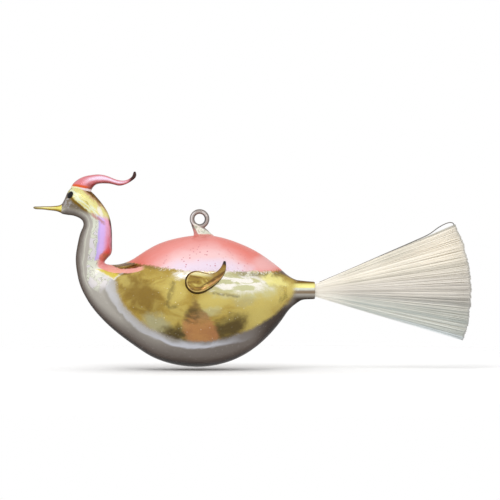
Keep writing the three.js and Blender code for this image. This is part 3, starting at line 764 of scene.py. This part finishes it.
def makeEye():
    # a bead seen from above: a short skirt melted into the brow, then a dome
    rings = []
    for i in range(eye['ringCount']):
        turn = i / (eye['ringCount'] - 1) * math.pi * 0.5
        size = math.cos(turn) * 0.96 + 0.04
        rings.append({'x': 0, 'y': 0, 'z': eye['bulge'] * math.sin(turn) - eye['sink'],
                      'deep': eye['wide'] * size, 'wide': eye['tall'] * size, 'tilt': 0})
    rings.insert(0, {**rings[0], 'z': -eye['skirt'], 'deep': eye['wide'] * 1.12, 'wide': eye['tall'] * 1.08})
    piece = loft('eye_bead_left', rings, eye['sides'])
    pickOnly(piece)
    out = Vector(eye['faces']).normalized()
    leans = Vector(eye['leans'])
    up = (leans - out * out.dot(leans)).normalized()
    piece.rotation_euler = Matrix((up.cross(out), up, out)).transposed().to_euler()
    piece.location = [v * mm for v in eye['place']]
    bpy.ops.object.transform_apply(location=True, rotation=True, scale=True)
    roundOff(piece)
    return piece


def mirrorCopy(piece, name):
    # the same piece on the other side, with a mesh of its own
    twin = piece.copy()
    twin.data = piece.data.copy()
    twin.name = twin.data.name = name
    bpy.context.scene.collection.objects.link(twin)
    pickOnly(twin)
    bpy.ops.object.mode_set(mode='EDIT')
    bpy.ops.mesh.select_all(action='SELECT')
    bpy.ops.transform.resize(value=(1, -1, 1), center_override=(0, 0, 0))
    bpy.ops.mesh.normals_make_consistent(inside=False)
    bpy.ops.object.mode_set(mode='OBJECT')
    return twin


def makeEyeFinish():
    c = colours(eye)
    finish, shader, w, place = newFinish('black_glass', Coat_Weight=0.1, Coat_Roughness=0.02, IOR=1.3)
    cloud = w.noise(place, 0.8, 3)
    skin = w.mix(c['black'], c['brown'], cloud.rise(0.5, 0.75))
    plug(skin, shader, 'Base Color')
    plug(0.08 + cloud * 0.1, shader, 'Roughness')
    plug(w.bump(cloud, 0.15 * mm), shader, 'Normal')
    return finish


leftEye = makeEye()
rightEye = mirrorCopy(leftEye, 'eye_bead_right')
eyeFinish = makeEyeFinish()
dress(leftEye, eyeFinish, 'eye_left')
dress(rightEye, eyeFinish, 'eye_right')
print('eyes done')


# wings: a comma of amber glass pressed onto each flank, with a thick rolled edge

wing = {
    'sides': 28,
    'ringCount': 40,
    'place': (-0.9, 28.7, -30.3),
    'tiltUp': 0.26,  # leans with the flank
    'stand': 1.0,  # out from the flank
    'pressedRings': 28,  # rings from the round end that have a pressed middle
    'pressedFrom': 0.62,  # these two are shares of the half thickness
    'pressedDeep': 0.62,
    'roundAt': 0.3,  # x of the middle of the round end
    'roundRadius': 5.65,
    # upper x and z, lower x and z, half thickness, lift of the middle
    'rows': [
        [-5.4, 0.5, -5.4, -0.5, 0.35, 0.0],
        [-5.2, 2.2, -5.2, -2.0, 1.0, 0.0],
        [-3.8, 4.2, -3.8, -3.9, 1.42, 0.0],
        [-1.9, 5.3, -1.9, -5.2, 1.6, 0.0],
        [0.2, 5.6, 0.5, -5.6, 1.65, 0.0],
        [2.9, 5.0, 3.4, -5.0, 1.6, 0.0],
        [5.8, 4.2, 6.5, -3.2, 1.55, 0.4],
        [8.3, 4.3, 9.5, -1.0, 1.45, 1.2],
        [10.3, 5.3, 11.9, 1.3, 1.3, 2.4],
        [11.7, 6.9, 13.5, 4.0, 1.05, 3.4],
        [12.4, 8.3, 14.0, 6.6, 0.8, 4.2],
        [12.8, 9.2, 13.8, 8.9, 0.45, 4.6],
    ],
    'colours': {
        'amber': '#9c7e2c',
        'amberLight': '#ccb75f',
        'amberDark': '#74501d',
        'sheen': '#f3ecb4',
        'end': '#8f6826',
        'crossing': '#dba267',
        'crossingShade': '#5b3413',
        'innerRim': '#d8bd7c',
        'rim': '#2b1709',
        'tip': '#1c100a',
    },
}


def pressMiddle(piece, rings):
    # the middle of the outer face is pressed in, which leaves the rolled edge
    last = wing['pressedRings'] - 1
    for i, ring in enumerate(rings[:last + 1]):
        fade = min(1, i / 8, (last - i) / 8)
        for k in range(i * wing['sides'], (i + 1) * wing['sides']):
            v = piece.data.vertices[k]
            side = (v.co.y / mm - ring['y']) / ring['wide']
            inner = max(0, side - wing['pressedFrom']) / (1 - wing['pressedFrom'])
            v.co.y -= inner * wing['pressedDeep'] * fade * ring['wide'] * mm


def markRim(piece, rings):
    # 1 on the outline, 0 in the middle, measured from one centre where the wing's end is round
    rims = np.ones(len(piece.data.vertices), np.float32)
    for i, ring in enumerate(rings):
        for k in range(i * wing['sides'], (i + 1) * wing['sides']):
            at = piece.data.vertices[k].co / mm
            if at.x < wing['roundAt']:
                rims[k] = math.hypot(at.x - wing['roundAt'], at.z) / wing['roundRadius']
            else:
                rims[k] = math.hypot(at.x - ring['x'], at.z - ring['z']) / ring['deep']
    piece.data.attributes.new('rim', 'FLOAT', 'POINT').data.foreach_set('value', rims)


def makeWing():
    rows = smoothRows(wing['rows'], wing['ringCount'])
    rings = [ringOf(*row[:5], y=row[5]) for row in rows]
    piece = loft('wing_comma_left', rings, wing['sides'])
    pressMiddle(piece, rings)
    markRim(piece, rings)
    pickOnly(piece)
    px, py, pz = wing['place']
    stand, tiltUp = wing['stand'], wing['tiltUp']
    piece.rotation_euler = (tiltUp, 0, 0)
    piece.location = (px * mm, (py + stand * math.cos(tiltUp)) * mm, (pz + stand * math.sin(tiltUp)) * mm)
    bpy.ops.object.transform_apply(location=True, rotation=True, scale=True)
    roundOff(piece)
    return piece


def makeWingFinish():
    c = colours(wing)
    finish, shader, w, place = newFinish('amber_glass', Coat_Roughness=0.02, IOR=1.5,
                                         Specular_Tint=(0.15, 0.08, 0.04, 1))
    x = place.axis('x')
    z = place.axis('z')
    swirl = w.noise(w.stretch(place, 0.6, 0.3, 1), 0.3, 3, 0.5, 1.0)
    rim = w.carried('rim')
    # the rolled edge is painted dark as shade with a painted light line inside it, the pressed middle is
    # painted with the gold seen through it, and a painted sheen runs along the top
    skin = w.mix(c['amber'], c['amberLight'], swirl.rise(0.48, 0.62))
    skin = w.mix(skin, c['amberDark'], swirl.rise(0.48, 0.37) * 0.9)
    onTop = (z + 0.1 * x).rise(-27.3, -26.4) * x.rise(8, 5.5)
    skin = w.mix(skin, c['sheen'], onTop * rim.rise(0.92, 0.8) * 0.85)
    skin = w.mix(skin, c['end'], (x * 0.75 + z * 0.66 + swirl * 3).rise(-15, -10.5) * 0.7)
    crossing = (x - 6.5) * 0.65 - (z + 30.4) + swirl * 2.5
    skin = w.mix(skin, c['crossing'], abs(crossing - 1.2).rise(0.8, 0.1) * x.rise(-1, 3) * 0.8)
    skin = w.mix(skin, c['crossingShade'], abs(crossing + 0.2).rise(0.7, 0.1) * x.rise(-1, 3) * 0.7)
    skin = w.mix(skin, c['innerRim'], abs(rim - 0.84).rise(0.05, 0.01) * 0.7)
    skin = w.mix(skin, c['rim'], (rim + swirl * 0.06).rise(0.89, 0.95) * (1 - onTop * 0.7) * 0.95)
    skin = w.mix(skin, c['tip'], (z + x * 0.2).rise(-20.2, -18.6))
    plug(skin, shader, 'Base Color')
    plug(0.8 - rim.rise(0.85, 1.0) * 0.5, shader, 'Metallic')
    plug(0.7 - rim.rise(0.8, 0.9) * 0.6, shader, 'Coat Weight')
    plug(0.08 + swirl * 0.1, shader, 'Roughness')
    plug(w.bump(swirl, 0.12 * mm), shader, 'Normal')
    return finish


leftWing = makeWing()
rightWing = mirrorCopy(leftWing, 'wing_comma_right')
wingFinish = makeWingFinish()
dress(leftWing, wingFinish, 'wing_left')
dress(rightWing, wingFinish, 'wing_right')
print('wings done')


# hanging loop: one cane, melted onto the back and turned round into a ring

loop = {
    'ringRadius': 3.6,
    'rod': 1.2,
    'grain': 0.22,  # size of the remesh cells
    'ringCount': 16,
    'sides': 24,
    # back x and z, front x and z, half width of the foot, from the back upwards
    'foot': [
        [-3.6, -8.9, 8.4, -9.4, 3.0],
        [-2.9, -7.6, 6.8, -7.9, 2.5],
        [-2.9, -6.8, 5.2, -6.6, 1.9],
        [-3.2, -5.4, 3.9, -5.3, 1.45],
        [-3.6, -4.2, 2.6, -4.3, 1.2],
        [-4.1, -2.6, -0.6, -3.4, 1.0],
        [-4.6, -0.6, -2.9, -1.0, 0.9],
    ],
    'colours': {
        'smoke': '#aba19a',
        'smokeDark': '#6b5f58',
        'sheen': '#e6e1de',
        'shade': '#35333a',
        'glint': '#efeef0',
        'neck': '#9a8a82',
        'strap': '#fffdf0',
        'strapGreen': '#c3cfae',
        'strapShade': '#9fae8c',
        'rosy': '#d8857c',
        'root': '#dd7f74',
    },
}


def makeLoop():
    rings = [ringOf(*row) for row in smoothRows(loop['foot'], loop['ringCount'])]
    foot = loft('loop_foot', rings, loop['sides'])
    dropSelection()
    bpy.ops.mesh.primitive_torus_add(major_radius=loop['ringRadius'] * mm, minor_radius=loop['rod'] * mm,
                                     major_segments=64, minor_segments=20, rotation=(math.pi / 2, 0, 0))
    ring = bpy.context.object
    ring.name = ring.data.name = 'loop_ring'
    bpy.ops.object.transform_apply(location=False, rotation=True, scale=False)
    foot.select_set(True)
    bpy.context.view_layer.objects.active = ring
    bpy.ops.object.join()
    finishModifier(ring, 'REMESH', mode='VOXEL', voxel_size=loop['grain'] * mm)
    finishModifier(ring, 'SMOOTH', factor=0.5, iterations=6)
    bpy.ops.object.shade_smooth()
    return ring


def makeLoopFinish():
    c = colours(loop)
    finish, shader, w, place = newFinish('smoky_glass', Transmission_Weight=0.1, IOR=1.5,
                                         Coat_Weight=1.0, Coat_Roughness=0.02)
    x = place.axis('x')
    z = place.axis('z')
    swirl = w.noise(place, 0.35, 3, 0.5, 1.0)
    radius = (x ** 2 + z ** 2) ** 0.5
    middle = abs(radius - loop['ringRadius'])
    # the rod is painted darker towards its sides as shade, with a painted sheen, painted shade inside the
    # ring on the right and a painted glint outside it on the left
    skin = w.mix(c['smoke'], c['smokeDark'], (middle + swirl * 0.3).rise(0.35, 0.95))
    skin = w.mix(skin, c['sheen'], (swirl + z * 0.01).rise(0.52, 0.64) * middle.rise(0.6, 0.2) * 0.7)
    inside = (radius + swirl * 0.4).rise(3.5, 3.1) * x.rise(0.5, 2.2) * z.rise(2.6, 1.0)
    skin = w.mix(skin, c['shade'], inside * 0.8)
    outside = abs(radius - 3.9 + swirl * 0.6 - 0.3).rise(0.35, 0.1) * x.rise(-1.5, -3)
    skin = w.mix(skin, c['glint'], outside * 0.8)
    skin = w.mix(skin, c['neck'], z.rise(-3.2, -4.6) * 0.8)
    # the bright cane crosses the foot and widens towards the back
    strapEdge = (x + 3.3) * 2.1 + z + 1.9
    strap = strapEdge.rise(-0.6, 0.6) * ((x + 1.2) * 0.6 + z + 2.9).rise(0.4, -0.5)
    skin = w.mix(skin, c['strap'], strap * z.rise(-1.8, -2.6) * 0.95)
    skin = w.mix(skin, c['strapGreen'], strap * (swirl + x * 0.01).rise(0.48, 0.58) * 0.7)
    skin = w.mix(skin, c['strapShade'], strap * (swirl - x * 0.01).rise(0.47, 0.40) * 0.7)
    # the pink back's painted reflection low on the foot
    skin = w.mix(skin, c['rosy'], strapEdge.rise(0.4, -0.8) * z.rise(-4.0, -6.0) * 0.8)
    skin = w.mix(skin, c['root'], (z + swirl).rise(-6.4, -7.0) * 0.8)
    plug(skin, shader, 'Base Color')
    plug(0.04 + swirl * 0.05, shader, 'Roughness')
    plug(w.bump(swirl, 0.3 * mm), shader, 'Normal')
    return finish


dress(makeLoop(), makeLoopFinish(), 'hanging_loop')
print('loop done')


# tail: locks of fine spun fibres that fan out of the tube

tail = {
    'mouth': (55.4, -34.3),  # x and z of the tube's mouth
    'rootRadius': 3.15,
    'rootFill': 0.94,  # share of that radius that the roots take
    'rootDepth': 3.6,
    'reach': 75.0,  # from the mouth to the cut ends
    'down': 18.7,  # degrees below level, then above it
    'up': 25.3,
    'thick': 4.3,  # half the fan's thickness at the cut ends
    'locks': 14,
    'strands': 4,  # in each lock
    'across': 12,  # fibres across a lock, then through its thickness
    'deep': 13,
    'rootThin': 0.045,
    'endThin': 0.12,
    'fanMiddle': 45,  # x that the fan seems to spread from
    # a straight fibre before it is bent: its length, half its thickness, the step to the next, its sections
    'draftLong': 10,
    'draftThin': 0.1,
    'spacing': 0.4,
    'stations': [-1.0, 0.0, 0.08, 0.2, 0.4, 0.65, 0.86, 1.0],
    'seed': 7,
    'colours': {
        'shade': '#c3bfb0',
        'cream': '#ebe5d6',
        'bright': '#fffaee',
        'low': '#c3cac6',
        'middle': '#d3cecb',
        'bottomEdge': '#e9eff2',
        'upper': '#fff8ea',
        'topEdge': '#a3a49b',
        'cutEnds': '#8f8e88',
        'root': '#fffaf0',
    },
}


def makeBlock():
    # one straight fibre along X, a small square drawn out at every station, repeated into a block
    thin = tail['draftThin']
    rings = []
    for station in tail['stations']:
        rings.append({'x': station * tail['draftLong'], 'y': 0, 'z': 0,
                      'deep': thin, 'wide': thin, 'tilt': math.pi / 2})
    block = loft('fibre', rings, 4)
    step = tail['spacing'] * mm
    for count, move in ((tail['across'], (0, 0, step)), (tail['deep'], (0, step, 0))):
        finishModifier(block, 'ARRAY', count=count, use_relative_offset=False,
                       use_constant_offset=True, constant_offset_displace=move)
    return block


def pickLock(dice, number):
    # what all the fibres of a lock share, and what each of its strands shares
    return {
        'number': number,
        'tone': dice.uniform(-0.25, 0.25),
        'reach': dice.uniform(-0.9, 0.7),
        'strandTones': [dice.uniform(0, 1) for _ in range(tail['strands'])],
        'strandReach': [dice.uniform(-0.5, 0.5) for _ in range(tail['strands'])],
    }


def pickFibre(dice, lock, column, layer):
    # a fibre's place across the fan at its root and its end, then in the thickness, its length and its tone
    number = lock['number']
    strand = column * tail['strands'] // tail['across']
    inLock = (column + dice.uniform(0.1, 0.9)) / tail['across']
    gathered = (strand + 0.5) / tail['strands']
    fan = -1 + 2 * (number + inLock) / tail['locks']
    fanEnd = -1 + 2 * (number + inLock + (gathered - inLock) * dice.uniform(0.0, 0.25)) / tail['locks']
    side = -1 if layer % 2 else 1
    height = side * (1 - dice.random() ** 1.3)  # more of them near the faces than inside
    reach = tail['reach'] * (1 - 0.005 * fan) - 0.2 + lock['reach'] * 0.25 + lock['strandReach'][strand] * 0.4
    reach -= abs(dice.gauss(0, 0.3))
    pleat = 1 - 0.10 * abs(inLock - 0.5) * 2 + dice.uniform(-0.04, 0.04)
    tone = 0.45 + lock['tone'] + (lock['strandTones'][strand] - 0.5) * 0.5 + dice.uniform(-0.22, 0.22)
    return {'fan': fan, 'fanEnd': fanEnd, 'height': height, 'reach': reach, 'pleat': pleat, 'tone': tone,
            'wander': dice.uniform(-0.25, 0.25)}


def bendFibre(fibre, station, sectionY, sectionZ):
    # one corner of a fibre's section: station -1 is the glued root, 0 the mouth of the tube, 1 the cut end
    fan, height = fibre['fan'], fibre['height']
    mouthX, mouthZ = tail['mouth']
    run = max(station, 0.0)
    ease = run * run * (3 - 2 * run)
    now = fan + (fibre['fanEnd'] - fan) * ease
    angle = math.radians(-tail['down'] + (tail['up'] + tail['down']) * (now + 1) / 2)
    rootZ = fan * tail['rootRadius'] * tail['rootFill']
    rootY = height * tail['rootRadius'] * math.sqrt(max(0, 1 - (fan * tail['rootFill']) ** 2)) * 0.95
    edge = min(abs(now), 0.97)
    endY = height * tail['thick'] * (1 - 0.45 * edge ** 4) * fibre['pleat']
    if station <= 0:
        px = mouthX + station * tail['rootDepth']
        py, pz = rootY, mouthZ + rootZ
    else:
        px = mouthX + run * fibre['reach'] * math.cos(angle)
        py = rootY + (endY - rootY) * ease
        pz = mouthZ + rootZ * (1 - run) + run * fibre['reach'] * math.sin(angle)
        pz += fibre['wander'] * math.sin(run * math.pi) * 0.6
    thin = (tail['rootThin'] + (tail['endThin'] - tail['rootThin']) * min(1, run * 2.2)) / tail['draftThin']
    return px, py + sectionY * thin, pz + sectionZ * thin


def makeLock(block, dice, number):
    bundle = block.copy()
    bundle.data = block.data.copy()
    bundle.name = bundle.data.name = 'tail_bundle_%02d' % (number + 1)
    bpy.context.scene.collection.objects.link(bundle)
    places = np.zeros(len(bundle.data.vertices) * 3)
    bundle.data.vertices.foreach_get('co', places)
    places = places.reshape(-1, 3) / mm
    tones = np.zeros(len(places), np.float32)
    runs = np.zeros(len(places), np.float32)
    perFibre = len(places) // (tail['across'] * tail['deep'])
    lock = pickLock(dice, number)
    for f in range(tail['across'] * tail['deep']):
        column, layer = f % tail['across'], f // tail['across']
        fibre = pickFibre(dice, lock, column, layer)
        for k in range(f * perFibre, (f + 1) * perFibre):
            x, y, z = places[k]
            station = x / tail['draftLong']
            places[k] = bendFibre(fibre, station, y - tail['spacing'] * layer, z - tail['spacing'] * column)
            tones[k] = fibre['tone']
            runs[k] = max(station, 0.0)
    bundle.data.vertices.foreach_set('co', (places * mm).ravel())
    bundle.data.attributes.new('tone', 'FLOAT', 'POINT').data.foreach_set('value', tones)
    bundle.data.attributes.new('run', 'FLOAT', 'POINT').data.foreach_set('value', runs)
    bundle.data.update()
    pickOnly(bundle)
    bpy.ops.object.shade_smooth()
    return bundle


def makeLocks():
    block = makeBlock()
    dice = random.Random(tail['seed'])
    locks = [makeLock(block, dice, number) for number in range(tail['locks'])]
    bpy.data.objects.remove(block, do_unlink=True)
    return locks


def makeSpunFinish():
    c = colours(tail)
    finish, shader, w, place = newFinish('spun_glass', Coat_Weight=0.25, Coat_Roughness=0.25,
                                         Emission_Strength=0.06)
    x = place.axis('x')
    z = place.axis('z')
    tone = w.carried('tone')
    run = w.carried('run')
    cloud = w.noise(place, 0.05, 2) - 0.5
    skin = w.mix(c['shade'], c['cream'], tone.rise(0.0, 0.35))
    skin = w.mix(skin, c['bright'], (tone + cloud * 0.5).rise(0.2, 0.58))
    slope = (z - tail['mouth'][1]) / (x - tail['fanMiddle'])  # which way a fibre points
    skin = w.mix(skin, c['low'], (slope + cloud * 0.1).rise(0.05, -0.22) * (0.9 - tone * 0.5))
    skin = w.mix(skin, c['middle'], abs(slope - 0.01).rise(0.2, 0.02) * (0.6 - tone * 0.4))
    skin = w.mix(skin, c['bottomEdge'], (slope + cloud * 0.02).rise(-0.262, -0.28) * run.rise(0.3, 0.8) * 0.7)
    skin = w.mix(skin, c['upper'], slope.rise(0.12, 0.25) * run.rise(0.5, 0.9) * 0.8)
    # a painted shadow of the stray fibre along the fan's top edge
    skin = w.mix(skin, c['topEdge'], (slope + cloud * 0.02).rise(0.385, 0.41) * run.rise(0.3, 0.6) * 0.6)
    skin = w.mix(skin, c['cutEnds'], run.rise(0.985, 1.0) * 0.6)
    skin = w.mix(skin, c['root'], run.rise(0.3, 0.0) * 0.85)
    plug(skin, shader, 'Base Color')
    # the fibres glow faintly in their own colour, painted light that lifts them
    plug(skin, shader, 'Emission Color')
    plug(0.38 + tone * 0.15, shader, 'Roughness')
    return finish


spunFinish = makeSpunFinish()
for number, lock in enumerate(makeLocks(), 1):
    dress(lock, spunFinish, 'tail_lock_%02d' % number)
print('tail done')


# the one fibre that has sprung out above the top lock

stray = {
    'thin': 0.22,
    'sides': 8,
    'ringCount': 48,
    # x and z, from the mouth of the tube to the hook over the fan's corner
    'path': [(57.5, -30.4), (72, -24.2), (90, -16.3), (104, -10.2), (110.5, -7.1), (114.5, -4.2),
             (118, -2.3), (120.3, -1.7), (121.7, -2.1), (122.4, -3.4)],
    'colours': {
        'dark': '#3d3833',
        'light': '#6f685f',
    },
}


def makeStray():
    rows = smoothRows([[px, 0, pz] for px, pz in stray['path']], stray['ringCount'])
    rings = []
    for i, (px, py, pz) in enumerate(rows):
        before, after = rows[max(i - 1, 0)], rows[min(i + 1, len(rows) - 1)]
        tilt = math.atan2(after[2] - before[2], after[0] - before[0]) + math.pi / 2
        rings.append({'x': px, 'y': py, 'z': pz, 'deep': stray['thin'], 'wide': stray['thin'], 'tilt': tilt})
    piece = loft('stray_strand', rings, stray['sides'])
    pickOnly(piece)
    bpy.ops.object.shade_smooth()
    return piece


def makeStrayFinish():
    c = colours(stray)
    finish, shader, w, place = newFinish('single_fibre', Coat_Weight=0.5, Coat_Roughness=0.1)
    drawn = w.noise(place, 0.3, 2)
    plug(w.mix(c['dark'], c['light'], drawn.rise(0.35, 0.65)), shader, 'Base Color')
    plug(0.2 + drawn * 0.2, shader, 'Roughness')
    return finish


dress(makeStray(), makeStrayFinish(), 'stray_fibre')
print('stray fibre done')


# glue plug: the CAD solid stays, with a dried glue finish

cement = {
    'colours': {
        'dry': '#cfc4ac',
        'pale': '#efe8d8',
    },
}


def makeGlueFinish():
    c = colours(cement)
    finish, shader, w, place = newFinish('dried_glue')
    lumps = w.noise(place, 0.9, 5, 0.65)
    plug(w.mix(c['dry'], c['pale'], lumps.rise(0.35, 0.65)), shader, 'Base Color')
    plug(0.7 + lumps * 0.25, shader, 'Roughness')
    plug(w.bump(lumps, 0.3 * mm), shader, 'Normal')
    return finish


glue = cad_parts['tail_cement']
glue.data.materials.clear()
glue.data.materials.append(makeGlueFinish())
print('glue done')


# stage, light and camera

stage = {
    'middleX': 24,
    'floorZ': -72.3,
    'floorRadius': 420,
    'floorColour': (0.97, 0.97, 0.965, 1),
    'fadeFrom': 110,
    'fadeTo': 400,
}


def makeFloor():
    dropSelection()
    bpy.ops.mesh.primitive_circle_add(vertices=96, radius=stage['floorRadius'] * mm, fill_type='NGON',
                                      location=(stage['middleX'] * mm, 0, stage['floorZ'] * mm))
    floor = bpy.context.object
    floor.name = 'floor'
    finish, shader, w, place = newFinish('pale_floor', Roughness=0.9)
    away = w.node('ShaderNodeVectorMath', {'operation': 'LENGTH'}, {0: place}, 1)
    plug(away.rise(stage['fadeTo'], stage['fadeFrom']), shader, 'Alpha')
    shader.inputs['Base Color'].default_value = stage['floorColour']
    floor.data.materials.append(finish)
    floor.visible_glossy = False


def makeWorld():
    world = bpy.data.worlds.new('studio')
    bpy.context.scene.world = world
    world.use_nodes = True
    tree = world.node_tree
    w = Wire(tree)
    back = tree.nodes['Background']
    way = w.node('ShaderNodeTexCoord', {}, {}, 0)
    up = way.axis('z')
    sky = w.node('ShaderNodeValToRGB', {'stops': [
        (0.0, (0.74, 0.73, 0.72, 1)), (0.35, (0.80, 0.795, 0.79, 1)), (0.5, (0.92, 0.915, 0.91, 1)),
        (0.7, (1.0, 0.995, 0.99, 1)), (1.0, (0.92, 0.92, 0.94, 1))]}, {0: up * 0.5 + 0.5})
    seen = w.node('ShaderNodeLightPath', {}, {}, 0)
    shown = w.mix(sky, (1, 1, 1, 1), seen)
    tree.links.new(shown.socket, back.inputs['Color'])
    back.inputs['Strength'].default_value = 1.0


def addSoftbox(name, place, aim, size, power, glossy=True):
    lamp = bpy.data.lights.new(name, 'AREA')
    lamp.shape = 'RECTANGLE'
    lamp.size, lamp.size_y = size
    lamp.energy = power
    box = bpy.data.objects.new(name, lamp)
    bpy.context.scene.collection.objects.link(box)
    box.location = Vector(place)
    box.visible_glossy = glossy
    box.rotation_euler = (Vector(aim) - Vector(place)).to_track_quat('-Z', 'Y').to_euler()


makeFloor()
makeWorld()
addSoftbox('high strip', (0.06, -0.62, 0.62), (0, 0, -0.03), (0.7, 0.08), 0.28)
addSoftbox('key', (-0.3, -0.75, 0.8), (0.02, 0, -0.03), (0.5, 0.5), 3.2, glossy=False)

view = {'aim': (24.2, 0, -14.9), 'fieldWide': 240, 'lens': 200}
camera = bpy.data.objects.new('camera', bpy.data.cameras.new('camera'))
bpy.context.scene.collection.objects.link(camera)
camera.data.lens = view['lens']
camera.data.clip_end = 20
distance = view['fieldWide'] / camera.data.sensor_width * view['lens']
camera.location = (view['aim'][0] * mm, -distance * mm, view['aim'][2] * mm)
camera.rotation_euler = (math.pi / 2, 0, 0)
bpy.context.scene.camera = camera
bpy.context.scene.view_settings.view_transform = 'Standard'

print('scene done')
